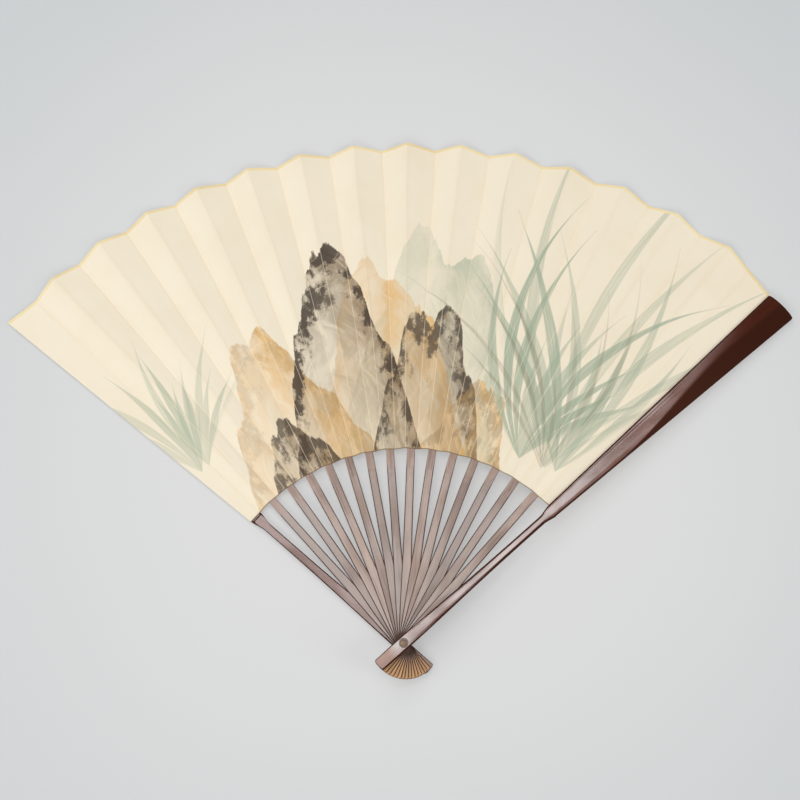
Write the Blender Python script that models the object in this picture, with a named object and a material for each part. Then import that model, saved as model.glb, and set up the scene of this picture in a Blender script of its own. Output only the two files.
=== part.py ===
"""Folding fan, opened and lying on its rear guard.

Fourteen sticks are stacked between two guards and turn on one rivet. Their thin upper ends, the ribs,
run in pockets of a pleated paper leaf. +Z is up, the rivet stands on the origin, and the middle of the
open leaf lies along +Y. Each piece is made in its own frame: +X from the rivet to the leaf, +Z up, and
the origin on the rivet at half the thickness of its stick or guard.
"""

import math

import bmesh
import bpy
import numpy as np
from mathutils import Matrix, Vector

MM = 0.001

# Pieces
STICK_COUNT = 14

# How far these end short of the leaf's peaks
VALLEY_SETBACK = 3.0 * MM
GUARD_SETBACK = 7.0 * MM
GUARD_PLEAT_SETBACK = 7.6 * MM
RIB_SETBACK = 12.0 * MM

# Reaches along a stick, from the rivet
TAIL_REACH = 18.6 * MM
LEAF_INNER_RADIUS = 113.3 * MM
PEAK_RADIUS = 304.0 * MM
HEAD_SPREAD = 47.0 * MM
SWELLING_START = 8.0 * MM
TWIST_LENGTH = 16.0 * MM
SHOULDER_LENGTH = 9.5 * MM
RECESS_STEP_LENGTH = 1.2 * MM
RECESS_MARGIN = 0.6 * MM
CROWN_START = 3.0 * MM
CROWN_RUN = 16.0 * MM

# Opening of the fan: the pleats beside the guards are drawn wider than those in the middle
LEAST_OPENING = math.radians(6.145)
OPENING_GAIN = 0.12
NARROWEST_PLEAT = 7

# Sticks
STICK_THICKNESS = 0.6 * MM
STICK_GAP = 0.3 * MM
STICK_HEAD_WIDTH = 6.6 * MM
STICK_WAIST_WIDTH = 4.7 * MM
STICK_CHAMFER_WIDTH = 0.3 * MM
STICK_CHAMFER_HEIGHT = 0.17 * MM
RIB_THICKNESS = 0.25 * MM
RIB_TIP_WIDTH = 2.6 * MM
STICK_TAIL_ROUNDING = 1.5 * MM
LEAN_SHARE_OF_GAP = 0.9

# Guards
GUARD_THICKNESS = 3.3 * MM
GUARD_HEAD_WIDTH = 7.0 * MM
GUARD_WAIST_WIDTH = 4.45 * MM
GUARD_BLADE_HALF_ANGLE = math.radians(1.87)
TAIL_CROWN = 0.15 * MM
HANDLE_CROWN = 0.9 * MM
BLADE_CROWN = 0.6 * MM
GUARD_FLAT_SHARE = 0.45
GUARD_CHAMFER = 0.2 * MM
GUARD_TIP_ROUNDING = 2.2 * MM
GUARD_TAIL_ROUNDING = 0.8 * MM

# Leaf: two sheets pasted together, with a pocket between them for each rib
SHEET_THICKNESS = 0.12 * MM
POCKET_PLAY = 0.12 * MM
POCKET_SIDE_PLAY = 0.3 * MM
PLEAT_HALF_ANGLE = math.radians(1.65)
REAR_END_HALF_ANGLE = math.radians(2.0)
FRONT_END_HALF_ANGLE = math.radians(1.8)
RELIEF_AT_GUARD = 1.6 * MM
RELIEF_STEP = 0.15 * MM
TABLE_PLAY = 0.04 * MM

# Rivet
SHANK_RADIUS = 1.05 * MM
RIVET_HEAD_RADIUS = 1.65 * MM
REAR_HEAD_HEIGHT = 0.5 * MM
DOME_HEIGHT = 0.7 * MM
WASHER_RADIUS = 2.45 * MM
WASHER_THICKNESS = 0.45 * MM

# Clearance between two pieces that touch
PLAY = 0.3 * MM

# Fineness of the curved forms
BORE_SIDES = 32
RIVET_SIDES = 24
DOME_STEPS = 5
CROWN_STEPS = 4
CUTS_THROUGH_ROUNDING = (0.03, 0.14, 0.36, 0.66, 1.0)
SHARP_EDGE = math.radians(35)

# Sizes that follow from those above
VALLEY_RADIUS = PEAK_RADIUS - VALLEY_SETBACK
GUARD_REACH = PEAK_RADIUS - GUARD_SETBACK
GUARD_PLEAT_REACH = PEAK_RADIUS - GUARD_PLEAT_SETBACK
RIB_REACH = PEAK_RADIUS - RIB_SETBACK
LEAF_THICKNESS = 2 * SHEET_THICKNESS
BORE_RADIUS = SHANK_RADIUS + PLAY
WASHER_SEAT_RADIUS = WASHER_RADIUS + PLAY
REAR_SEAT_DEPTH = REAR_HEAD_HEIGHT + WASHER_THICKNESS + 2 * PLAY
FRONT_SEAT_DEPTH = WASHER_THICKNESS + PLAY
STICK_PITCH = STICK_THICKNESS + STICK_GAP
# The closed leaf needs this much room between the guards and the nearest sticks
GUARD_RECESS = (
    RELIEF_AT_GUARD + LEAF_THICKNESS / 2 + LEAF_THICKNESS + 2 * PLAY
    - STICK_GAP - STICK_THICKNESS / 2
)
# A stick may lean on the one below until the gap between them is nearly used up where they part
LEAN_STEP = LEAN_SHARE_OF_GAP * STICK_GAP / (STICK_HEAD_WIDTH / LEAST_OPENING)

GUARD_COLOUR = (0.13, 0.035, 0.022)
STICK_COLOUR = (0.23, 0.14, 0.11)
LEAF_COLOUR = (0.86, 0.80, 0.64)
HORN_COLOUR = (0.42, 0.27, 0.13)


def smooth(share):
    """Ease from 0 to 1 with level ends."""
    share = min(max(share, 0.0), 1.0)
    return share * share * (3 - 2 * share)


def between(start, end, count):
    """Evenly spaced values, both ends included."""
    return [start + (end - start) * i / (count - 1) for i in range(count)]


def openings():
    """Angle from each stick or guard to the next, from the rear guard to the front guard."""
    return [
        LEAST_OPENING * (1 + OPENING_GAIN * (i / NARROWEST_PLEAT - 1) ** 2)
        for i in range(1, STICK_COUNT + 2)
    ]


def half_relief(index):
    """Height of a ribbed pleat's peak above its rib at the outer edge; flatter beside the guards."""
    return RELIEF_AT_GUARD + RELIEF_STEP * min(index - 1, STICK_COUNT - index)


def tilt(index):
    """Slope of a ribbed pleat across its rib."""
    return math.atan(half_relief(index) / (PEAK_RADIUS * math.sin(PLEAT_HALF_ANGLE)))


def pivot_height(index):
    """Height of the middle of a stick or guard on the rivet; 0 is the rear guard."""
    if index == 0:
        return GUARD_THICKNESS / 2
    if index == STICK_COUNT + 1:
        return 1.5 * GUARD_THICKNESS + STICK_GAP + STICK_COUNT * STICK_PITCH
    return GUARD_THICKNESS + STICK_GAP + STICK_THICKNESS / 2 + (index - 1) * STICK_PITCH


def leans():
    """How far each stick or guard slopes down to its outer end.

    Each leans a little more than the one below, until its pleat's outer corner meets the table.
    """
    found = [0.0]
    for index in range(1, STICK_COUNT + 1):
        drop = VALLEY_RADIUS * math.sin(PLEAT_HALF_ANGLE) * math.tan(tilt(index))
        spare = pivot_height(index) - drop - LEAF_THICKNESS / 2 - TABLE_PLAY
        touching = math.asin(spare / (VALLEY_RADIUS * math.cos(PLEAT_HALF_ANGLE)))
        found.append(min(found[-1] + LEAN_STEP, touching))
    return found + [found[-1] + LEAN_STEP]


LEANS = leans()
OPENINGS = openings()
HALF_SPREAD = sum(OPENINGS) / 2


def heading(index):
    """Direction of a stick or guard in plan, from +X."""
    return math.pi / 2 + HALF_SPREAD - sum(OPENINGS[:index])


def rest_matrix(index):
    """Where a stick or guard lies while the fan is open."""
    return (
        Matrix.Translation((0, 0, pivot_height(index)))
        @ Matrix.Rotation(heading(index), 4, "Z")
        @ Matrix.Rotation(LEANS[index], 4, "Y")
    )


def closed_matrix(index):
    """Where it lies while the fan is closed: flat on the others, over the rear guard."""
    return Matrix.Translation((0, 0, pivot_height(index))) @ Matrix.Rotation(heading(0), 4, "Z")


def hinge(index):
    """Point, axis and angle of the turn that closes a stick or guard onto the one below it.

    The axis leans a little from the rivet's, because the stick comes level as it closes, and it passes
    beside the rivet's middle by less than the play in the bore.
    """
    lower = rest_matrix(index - 1)
    closed = lower @ closed_matrix(index - 1).inverted() @ closed_matrix(index)
    move = closed @ rest_matrix(index).inverted()
    axis, angle = move.to_quaternion().to_axis_angle()
    if axis.z < 0:
        axis, angle = -axis, -angle
    shift = move.to_translation()
    shift -= axis * shift.dot(axis)
    turn = np.eye(3) - np.array(move.to_3x3())
    point = Vector(np.linalg.lstsq(turn, np.array(shift), rcond=1e-6)[0])
    pivot = rest_matrix(index).to_translation()
    return point + axis * (pivot - point).dot(axis), axis, angle


def clear_scene():
    for thing in list(bpy.data.objects):
        bpy.data.objects.remove(thing, do_unlink=True)


def finish(thing, colour, roughness, metallic=0.0):
    """Give an object its own material."""
    surface = bpy.data.materials.new(thing.name + "_finish")
    surface.use_nodes = True
    shader = surface.node_tree.nodes["Principled BSDF"]
    shader.inputs["Base Color"].default_value = (*colour, 1.0)
    shader.inputs["Roughness"].default_value = roughness
    shader.inputs["Metallic"].default_value = metallic
    surface.diffuse_color = (*colour, 1.0)
    thing.data.materials.append(surface)


def solid(name, points, faces, place, carrier=None):
    """Object from a closed mesh, placed in the world and carried by an empty on its joint's axis."""
    mesh = bpy.data.meshes.new(name)
    mesh.from_pydata([tuple(p) for p in points], [], faces)
    shell = bmesh.new()
    shell.from_mesh(mesh)
    bmesh.ops.recalc_face_normals(shell, faces=shell.faces)
    shell.to_mesh(mesh)
    shell.free()
    mesh.shade_smooth()
    mesh.set_sharp_from_angle(angle=SHARP_EDGE)
    thing = bpy.data.objects.new(name, mesh)
    bpy.context.scene.collection.objects.link(thing)
    if carrier:
        thing.parent = carrier
        thing.matrix_parent_inverse = carrier.matrix_world.inverted()
    thing.matrix_basis = place
    return thing


def ring_faces(rings, count, first=0):
    """Quads that join a number of rings of count points each, numbered from first."""
    faces = []
    for i in range(rings - 1):
        low, high = first + i * count, first + (i + 1) * count
        for j in range(count):
            k = (j + 1) % count
            faces.append((low + j, low + k, high + k, high + j))
    return faces


def loft(rings):
    """Points and faces of the closed solid through a row of rings."""
    count = len(rings[0])
    points = [p for ring in rings for p in ring]
    faces = ring_faces(len(rings), count)
    faces.append(tuple(range(count)))
    faces.append(tuple(range(len(points) - count, len(points))))
    return points, faces


def turned(profile, sides):
    """Points and faces of a profile of (radius, height) turned about Z; it starts and ends on the axis."""
    points = [Vector((0, 0, profile[0][1])), Vector((0, 0, profile[-1][1]))]
    rows = profile[1:-1]
    for radius, height in rows:
        for j in range(sides):
            a = 2 * math.pi * j / sides
            points.append(Vector((radius * math.cos(a), radius * math.sin(a), height)))
    faces = ring_faces(len(rows), sides, first=2)
    top = 2 + (len(rows) - 1) * sides
    for j in range(sides):
        k = (j + 1) % sides
        faces.append((0, 2 + j, 2 + k))
        faces.append((1, top + j, top + k))
    return points, faces


def end_narrowing(x, start, end, rounding):
    """Share of the full width left at x, where the corners of both ends are rounded in plan."""
    share = 1.0
    for distance in (x - start, end - x):
        if distance < rounding:
            depth = 1 - distance / rounding
            share *= max(1 - depth ** 3, 0.0) ** (1 / 3)
    return share


def end_stations(tip, rounding, inward):
    """Places along a piece where its rounded end is cut, from the tip inwards."""
    return [tip + inward * rounding * share for share in CUTS_THROUGH_ROUNDING]


def swelling(x, head_width, waist_width):
    """Half width of a stick or guard, swelling at the rivet."""
    return (waist_width + (head_width - waist_width) * math.exp(-((x / HEAD_SPREAD) ** 2))) / 2


def stick_half_width(x):
    width = swelling(x, STICK_HEAD_WIDTH, STICK_WAIST_WIDTH)
    if x > LEAF_INNER_RADIUS:
        along = (x - LEAF_INNER_RADIUS) / (RIB_REACH - LEAF_INNER_RADIUS)
        width += (RIB_TIP_WIDTH - STICK_WAIST_WIDTH) / 2 * along
    if x > 0:
        return width * end_narrowing(x, -math.inf, RIB_REACH, RIB_TIP_WIDTH / 2)
    return width * end_narrowing(x, -TAIL_REACH, math.inf, STICK_TAIL_ROUNDING)


def stick_ring(x, slope):
    """Cross-section of a stick: flat with broken edges, thinned and turned to its pleat at the leaf."""
    turn = smooth((x - LEAF_INNER_RADIUS + TWIST_LENGTH) / TWIST_LENGTH)
    half_width = stick_half_width(x)
    half_height = (STICK_THICKNESS + (RIB_THICKNESS - STICK_THICKNESS) * turn) / 2
    side = half_height - min(STICK_CHAMFER_HEIGHT, 0.6 * half_height)
    face = half_width - min(STICK_CHAMFER_WIDTH, 0.6 * half_width)
    corners = [
        (half_width, -side), (half_width, side), (face, half_height), (-face, half_height),
        (-half_width, side), (-half_width, -side), (-face, -half_height), (face, -half_height),
    ]
    angle = slope * turn
    across = Vector((0, math.cos(angle), math.sin(angle)))
    upward = Vector((0, -math.sin(angle), math.cos(angle)))
    return [Vector((x, 0, 0)) + across * y + upward * z for y, z in corners]


def make_stick(index, carrier):
    twist_start = LEAF_INNER_RADIUS - TWIST_LENGTH
    stations = end_stations(-TAIL_REACH, STICK_TAIL_ROUNDING, 1)
    stations += between(-SWELLING_START, twist_start, 10)
    stations += between(twist_start, LEAF_INNER_RADIUS, 5)[1:]
    stations += between(LEAF_INNER_RADIUS, RIB_REACH - RIB_TIP_WIDTH / 2, 3)[1:-1]
    stations += reversed(end_stations(RIB_REACH, RIB_TIP_WIDTH / 2, -1))
    points, faces = loft([stick_ring(x, tilt(index)) for x in stations])
    thing = solid(f"stick_{index:02d}", points, faces, rest_matrix(index), carrier)
    finish(thing, STICK_COLOUR, 0.38)
    return thing


def shoulder(x):
    """Share of the way from a guard's handle (0) to its blade (1)."""
    return smooth((x - LEAF_INNER_RADIUS + SHOULDER_LENGTH) / SHOULDER_LENGTH)


def recess(x):
    """How deep a guard's inner face is cut back at x, for the leaf."""
    past = x - LEAF_INNER_RADIUS + RECESS_MARGIN + RECESS_STEP_LENGTH
    return GUARD_RECESS * smooth(past / RECESS_STEP_LENGTH)


def crown(x):
    """How far a guard's outer face falls from its middle to its edges: hardly at the tail."""
    handle = TAIL_CROWN + (HANDLE_CROWN - TAIL_CROWN) * smooth((x - CROWN_START) / CROWN_RUN)
    return handle + (BLADE_CROWN - handle) * shoulder(x)


def guard_half_width(x):
    waist = swelling(x, GUARD_HEAD_WIDTH, GUARD_WAIST_WIDTH)
    blade = x * math.tan(GUARD_BLADE_HALF_ANGLE)
    width = waist + (blade - waist) * shoulder(x)
    if x > 0:
        return width * end_narrowing(x, -math.inf, GUARD_REACH, GUARD_TIP_ROUNDING)
    return width * end_narrowing(x, -TAIL_REACH, math.inf, GUARD_TAIL_ROUNDING)


def guard_ring(x, side):
    """Cross-section of a guard: crowned outside, flat inside, cut back inside where the leaf lies.

    side is 1 for the front guard, whose outside is up, and -1 for the rear guard.
    """
    half_width = guard_half_width(x)
    outer = GUARD_THICKNESS / 2
    inner = recess(x) - outer
    cut = min(GUARD_CHAMFER, half_width / 2)
    right = [(half_width - cut, inner), (half_width, inner + cut)]
    for fall in between(1.0, 0.0, CROWN_STEPS + 1):
        share = GUARD_FLAT_SHARE + (1 - GUARD_FLAT_SHARE) * fall
        right.append((share * half_width, outer - crown(x) * fall ** 2))
    ring = right + [(-y, z) for y, z in reversed(right)]
    return [Vector((x, y, z * side)) for y, z in ring]


def make_guard(name, index, side, carrier):
    shoulder_start = LEAF_INNER_RADIUS - SHOULDER_LENGTH
    recess_end = LEAF_INNER_RADIUS - RECESS_MARGIN
    stations = end_stations(-TAIL_REACH, GUARD_TAIL_ROUNDING, 1)
    stations += between(-SWELLING_START, shoulder_start, 12)
    stations += between(shoulder_start, recess_end - RECESS_STEP_LENGTH, 6)[1:]
    stations += between(recess_end - RECESS_STEP_LENGTH, recess_end, 4)[1:]
    stations.append(LEAF_INNER_RADIUS)
    stations += between(LEAF_INNER_RADIUS, GUARD_REACH - GUARD_TIP_ROUNDING, 4)[1:-1]
    stations += reversed(end_stations(GUARD_REACH, GUARD_TIP_ROUNDING, -1))
    points, faces = loft([guard_ring(x, side) for x in stations])
    thing = solid(name, points, faces, rest_matrix(index), carrier)
    finish(thing, GUARD_COLOUR, 0.28)
    return thing


def add_cutter(name, profile, place):
    """Hidden turned tool that drills the pieces it is given to."""
    points, faces = turned(profile, BORE_SIDES)
    tool = solid(name, points, faces, place)
    tool.hide_render = True
    tool.display_type = "WIRE"
    return tool


def drill(thing, tool):
    cut = thing.modifiers.new("bore", "BOOLEAN")
    cut.operation = "DIFFERENCE"
    cut.solver = "EXACT"
    cut.object = tool


def fold_point(index, radius, angle):
    """Point of a ribbed pleat's middle surface in its stick's frame; angle is to the left of the rib."""
    across = radius * math.sin(angle)
    return Vector((radius * math.cos(angle), across, across * math.tan(tilt(index))))


def trim_radius(share):
    """Outer edge of the leaf, from a valley (0) to a peak (1)."""
    return VALLEY_RADIUS + (PEAK_RADIUS - VALLEY_RADIUS) * share


def pocket_half_width(x):
    """Half width of a rib's pocket, which narrows with the rib."""
    along = (x - LEAF_INNER_RADIUS) / (RIB_REACH - LEAF_INNER_RADIUS)
    return (STICK_WAIST_WIDTH + (RIB_TIP_WIDTH - STICK_WAIST_WIDTH) * along) / 2 + POCKET_SIDE_PLAY


def make_rib_pleat(index, carrier):
    """Ribbed pleat: pasted flat along both folds, open between them as the pocket of the rib."""
    slope = tilt(index)
    across = Vector((0, math.cos(slope), math.sin(slope)))
    upward = Vector((0, -math.sin(slope), math.cos(slope)))
    pocket = RIB_THICKNESS / 2 + POCKET_PLAY
    skin = pocket + SHEET_THICKNESS
    pasted = LEAF_THICKNESS / 2
    pocket_end = RIB_REACH + POCKET_SIDE_PLAY
    spread = math.tan(PLEAT_HALF_ANGLE) / math.cos(slope)

    def outside(x, fold, swell):
        """Section of the two sheets: flat at the folds, standing off by swell over the pocket."""
        wall = pocket_half_width(min(x, pocket_end)) + 2 * SHEET_THICKNESS
        upper = [(fold, pasted), (wall, swell), (-wall, swell), (-fold, pasted)]
        lower = [(-fold, -pasted), (-wall, -swell), (wall, -swell), (fold, -pasted)]
        return [Vector((x, 0, 0)) + across * y + upward * h for y, h in upper + lower]

    def trimmed(fold):
        """Section along the outer edge, which is cut slanting from the valley to the peak."""
        ring = outside(PEAK_RADIUS, fold, pasted)
        for point in ring:
            reach = trim_radius((point.dot(across) / fold + 1) / 2)
            point.x = reach * math.cos(PLEAT_HALF_ANGLE)
        return ring

    def inside(x):
        """Section of the pocket, with a point beside each point of the outside."""
        half = pocket_half_width(x)
        upper = [(half, pocket / 2), (half, pocket), (-half, pocket), (-half, pocket / 2)]
        lower = [(y, -h) for y, h in reversed(upper)]
        return [Vector((x, 0, 0)) + across * y + upward * h for y, h in upper + lower]

    places = between(LEAF_INNER_RADIUS, pocket_end, 3)
    outer = [outside(x, x * spread - PLAY / 2, skin) for x in places]
    outer.append(trimmed(VALLEY_RADIUS * spread - PLAY / 2))
    inner = [inside(x) for x in places]
    points = [p for ring in outer + inner for p in ring]
    count = len(outer[0])
    first_inner = len(outer) * count
    faces = ring_faces(len(outer), count) + ring_faces(len(inner), count, first_inner)
    faces.append(tuple(range(first_inner - count, first_inner)))
    faces.append(tuple(range(len(points) - count, len(points))))
    for j in range(count):
        k = (j + 1) % count
        faces.append((j, k, first_inner + k, first_inner + j))
    thing = solid(f"rib_pleat_{index:02d}", points, faces, rest_matrix(index), carrier)
    finish(thing, LEAF_COLOUR, 0.9)
    return thing


def end_pleat_height(side):
    """Middle of the leaf where it is pasted on a guard's blade, in the guard's frame."""
    return side * (GUARD_RECESS - GUARD_THICKNESS / 2 - PLAY - LEAF_THICKNESS / 2)


def make_end_pleat(name, index, side, half_angle, reaches, carrier):
    """Flat pleat pasted along a guard's inner face; reaches are those of its right and left edges."""
    height = end_pleat_height(side)
    low, high = height - LEAF_THICKNESS / 2, height + LEAF_THICKNESS / 2
    rings = []
    for right_reach, left_reach in ((LEAF_INNER_RADIUS, LEAF_INNER_RADIUS), reaches):
        right = (right_reach, -right_reach * math.tan(half_angle))
        left = (left_reach, left_reach * math.tan(half_angle))
        rings.append([Vector((*xy, z)) for xy, z in ((right, low), (right, high), (left, high), (left, low))])
    points, faces = loft(rings)
    thing = solid(name, points, faces, rest_matrix(index), carrier)
    finish(thing, LEAF_COLOUR, 0.9)
    return thing


def valley_point(index, radius):
    """Point on the fold to the right of a ribbed pleat or of the rear guard's pleat, in the world."""
    if index == 0:
        local = Vector((
            radius * math.cos(REAR_END_HALF_ANGLE),
            -radius * math.sin(REAR_END_HALF_ANGLE),
            end_pleat_height(-1),
        ))
    else:
        local = fold_point(index, radius, -PLEAT_HALF_ANGLE)
    return rest_matrix(index) @ local


def peak_point(index, radius):
    """Point on the fold to the left of a ribbed pleat or of the front guard's pleat, in the world."""
    if index == STICK_COUNT + 1:
        local = Vector((
            radius * math.cos(FRONT_END_HALF_ANGLE),
            radius * math.sin(FRONT_END_HALF_ANGLE),
            end_pleat_height(1),
        ))
    else:
        local = fold_point(index, radius, PLEAT_HALF_ANGLE)
    return rest_matrix(index) @ local


def make_free_pleat(index, carrier):
    """Pleat without a rib, from the valley beside one stick up to the peak beside the next."""
    home = rest_matrix(index - 1).inverted()
    ahead = valley_point(index - 1, VALLEY_RADIUS) - valley_point(index - 1, LEAF_INNER_RADIUS)
    lefts = [valley_point(index - 1, r) for r in between(LEAF_INNER_RADIUS, VALLEY_RADIUS, 4)]
    peak_reach = GUARD_PLEAT_REACH if index == STICK_COUNT + 1 else PEAK_RADIUS
    rights = [peak_point(index, r) for r in between(LEAF_INNER_RADIUS, peak_reach, 4)]
    rings = []
    for left, right in zip(lefts, rights):
        across = (right - left).normalized()
        up = across.cross(ahead).normalized()
        up *= math.copysign(LEAF_THICKNESS / 2, up.z)
        left += across * (PLAY / 2)
        right -= across * (PLAY / 2)
        rings.append([home @ p for p in (left - up, left + up, right + up, right - up)])
    points, faces = loft(rings)
    thing = solid(f"free_pleat_{index:02d}", points, faces, rest_matrix(index - 1), carrier)
    finish(thing, LEAF_COLOUR, 0.9)
    return thing


def dome(radius, base, height):
    """Profile of a rounded head, from its rim to its top."""
    angles = between(0, math.pi / 2, DOME_STEPS + 1)
    return [(radius * math.cos(a), base + height * math.sin(a)) for a in angles]


def make_rivet():
    """Shank through the whole stack, with a flush flat head below and a domed head on the front."""
    front_face = pivot_height(STICK_COUNT + 1) + GUARD_THICKNESS / 2
    dome_base = front_face - FRONT_SEAT_DEPTH + WASHER_THICKNESS + 2 * PLAY
    profile = [(0, 0), (RIVET_HEAD_RADIUS, 0), (RIVET_HEAD_RADIUS, REAR_HEAD_HEIGHT)]
    profile += [(SHANK_RADIUS, REAR_HEAD_HEIGHT), (SHANK_RADIUS, dome_base)]
    profile += dome(RIVET_HEAD_RADIUS, dome_base, DOME_HEIGHT)
    points, faces = turned(profile, RIVET_SIDES)
    thing = solid("rivet", points, faces, Matrix.Identity(4))
    finish(thing, HORN_COLOUR, 0.3)
    return thing


def make_washer(name, height, place, carrier):
    """Ring round the shank, with broken outer edges; height is its middle in its own frame."""
    half, edge = WASHER_THICKNESS / 2, WASHER_THICKNESS / 4
    section = [
        (BORE_RADIUS, -half), (WASHER_RADIUS - edge, -half), (WASHER_RADIUS, edge - half),
        (WASHER_RADIUS, half - edge), (WASHER_RADIUS - edge, half), (BORE_RADIUS, half),
    ]
    rings = []
    for j in range(BORE_SIDES):
        a = 2 * math.pi * j / BORE_SIDES
        rings.append([Vector((r * math.cos(a), r * math.sin(a), height + z)) for r, z in section])
    points = [p for ring in rings for p in ring]
    count = len(section)
    last = len(points) - count
    faces = ring_faces(BORE_SIDES, count)
    faces += [(last + j, last + (j + 1) % count, (j + 1) % count, j) for j in range(count)]
    thing = solid(name, points, faces, place, carrier)
    finish(thing, HORN_COLOUR, 0.35)
    return thing


def make_carrier(index, parent):
    """Empty on the axis that a stick or guard turns about, with its Z along that axis."""
    point, axis, angle = hinge(index)
    carrier = bpy.data.objects.new(f"pivot_{index:02d}", None)
    carrier.empty_display_size = 5 * MM
    bpy.context.scene.collection.objects.link(carrier)
    if parent:
        carrier.parent = parent
        carrier.matrix_parent_inverse = parent.matrix_world.inverted()
    carrier.matrix_basis = Matrix.Translation(point) @ axis.to_track_quat("Z", "X").to_matrix().to_4x4()
    bpy.context.view_layer.update()
    return carrier


def build_fan():
    clear_scene()
    last = STICK_COUNT + 1
    carriers = [None]
    for index in range(1, last + 1):
        carriers.append(make_carrier(index, carriers[-1]))

    rear_guard = make_guard("rear_guard", 0, -1, None)
    sticks = [make_stick(index, carriers[index]) for index in range(1, last)]
    front_guard = make_guard("front_guard", last, 1, carriers[last])

    rear_reaches = (VALLEY_RADIUS, PEAK_RADIUS)
    make_end_pleat("rear_end_pleat", 0, -1, REAR_END_HALF_ANGLE, rear_reaches, None)
    for index in range(1, last):
        make_rib_pleat(index, carriers[index])
    for index in range(1, last + 1):
        make_free_pleat(index, carriers[index - 1])
    front_reaches = (GUARD_PLEAT_REACH, GUARD_PLEAT_REACH)
    make_end_pleat("front_end_pleat", last, 1, FRONT_END_HALF_ANGLE, front_reaches, carriers[last])

    make_rivet()
    washer_middle = GUARD_THICKNESS / 2 - FRONT_SEAT_DEPTH + PLAY + WASHER_THICKNESS / 2
    make_washer("front_washer", washer_middle, rest_matrix(last), carriers[last])
    washer_middle = REAR_HEAD_HEIGHT + PLAY + WASHER_THICKNESS / 2 - GUARD_THICKNESS / 2
    make_washer("rear_washer", washer_middle, rest_matrix(0), None)

    over = 2 * GUARD_THICKNESS
    top = pivot_height(last) + over
    stick_bore = add_cutter(
        "stick_bore", [(0, -over), (BORE_RADIUS, -over), (BORE_RADIUS, top), (0, top)], Matrix.Identity(4)
    )
    for stick in sticks:
        drill(stick, stick_bore)
    for guard, index, side, depth in (
        (rear_guard, 0, -1, REAR_SEAT_DEPTH), (front_guard, last, 1, FRONT_SEAT_DEPTH)
    ):
        seat = side * (GUARD_THICKNESS / 2 - depth)
        outline = [
            (0, -side * over), (BORE_RADIUS, -side * over), (BORE_RADIUS, seat),
            (WASHER_SEAT_RADIUS, seat), (WASHER_SEAT_RADIUS, side * over), (0, side * over),
        ]
        drill(guard, add_cutter(guard.name + "_bore", outline, rest_matrix(index)))


build_fan()
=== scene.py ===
"""Dressing of a folding fan: its pleated paper leaf, bamboo and horn finishes, floor, lamps and camera.

Lengths are in metres. The rivet stands on the origin, +Z is up and the middle of the open leaf is +Y.
"""

import math

import bpy
from bpy.props import FloatProperty, FloatVectorProperty, PointerProperty
from mathutils import Euler, Matrix, Vector


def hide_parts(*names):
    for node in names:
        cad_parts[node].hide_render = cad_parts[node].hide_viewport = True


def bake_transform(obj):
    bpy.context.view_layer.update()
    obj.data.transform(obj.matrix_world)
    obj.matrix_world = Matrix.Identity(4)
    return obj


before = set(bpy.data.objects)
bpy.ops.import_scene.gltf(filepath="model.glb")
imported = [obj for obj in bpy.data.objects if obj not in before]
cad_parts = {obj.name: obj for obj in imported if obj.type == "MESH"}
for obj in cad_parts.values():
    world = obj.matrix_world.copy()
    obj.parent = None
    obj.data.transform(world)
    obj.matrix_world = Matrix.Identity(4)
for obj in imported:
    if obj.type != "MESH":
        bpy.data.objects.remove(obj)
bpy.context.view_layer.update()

bl_info = {
    "name": "Folding fan",
    "version": (1, 0, 0),
    "blender": (4, 5, 0),
    "location": "3D View > Sidebar > Fan",
    "description": "Makes the paper leaf of a folding fan and finishes its sticks, guards and rivet",
    "category": "Object",
}

MM = 0.001
DECIMETRE = 0.1
STICKS = 14

# Leaf
# Clearance that the frame's pleats keep from each fold
FOLD_CLEARANCE = 0.15 * MM
# Pocket of a rib: half widths at the leaf's inner and outer edge, where along the leaf it starts to close,
# and over which share of the leaf it closes
POCKET_HALF_WIDTHS = (2.6 * MM, 1.5 * MM)
POCKET_END = 0.945
POCKET_CLOSING = 0.02
# Beside the pocket the sheets meet after this share of the room up to the fold, or of this distance
MEETING_SHARE = 0.85
MEETING_REACH = 4 * MM
# Places along the leaf, from its inner edge (0) to its outer edge (1), where its surface has points
ROWS = (0.0, 0.04, 0.12, 0.22, 0.32, 0.42, 0.52, 0.62, 0.72, 0.82, 0.9, 0.945, 0.965, 0.985, 1.0)
# Places across a plain pleat between its folds, where its surface has points
FREE_COLUMNS = (0.12, 0.3, 0.5, 0.7, 0.88)
# Distance from a rib noted where a pleat has none
NO_RIB = (20 * MM, 20 * MM)
# Share of the bow that a plain pleat has at the leaf's inner edge
BOW_AT_INNER_EDGE = 0.3
# Turn between two faces above which the edge between them is drawn sharp
SHARP_FOLD = math.radians(8)
# Maps of the leaf: plan in decimetres, distances from the fold and rib, and from the two edges, in mm
PLAN_MAP = "plan"
FOLD_MAP = "folds"
EDGE_MAP = "edges"

# Bamboo
# Two stretches of a handle where its width is taken, where it has narrowed, where its dark rim of painted
# shade ends, and that rim's width
HANDLE_PARTS = ((10 * MM, 20 * MM), (80 * MM, 98 * MM))
HANDLE_NARROWED = 72 * MM
HANDLE_END = (108 * MM, 100 * MM)
HANDLE_SHADE_WIDTH = 0.5 * MM
# Two stretches of a guard's blade where its width is taken, where its dark rims of painted shade start,
# the width of the rim beside the leaf, and that of the outer rim, which widens over the stretch named last
BLADE_PARTS = ((170 * MM, 178 * MM), (230 * MM, 238 * MM))
BLADE_START = (106 * MM, 112 * MM)
BLADE_INNER_SHADE = 0.9 * MM
BLADE_OUTER_SHADE = (1.0 * MM, 12 * MM)
BLADE_WIDENING = (160 * MM, 260 * MM)
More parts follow.
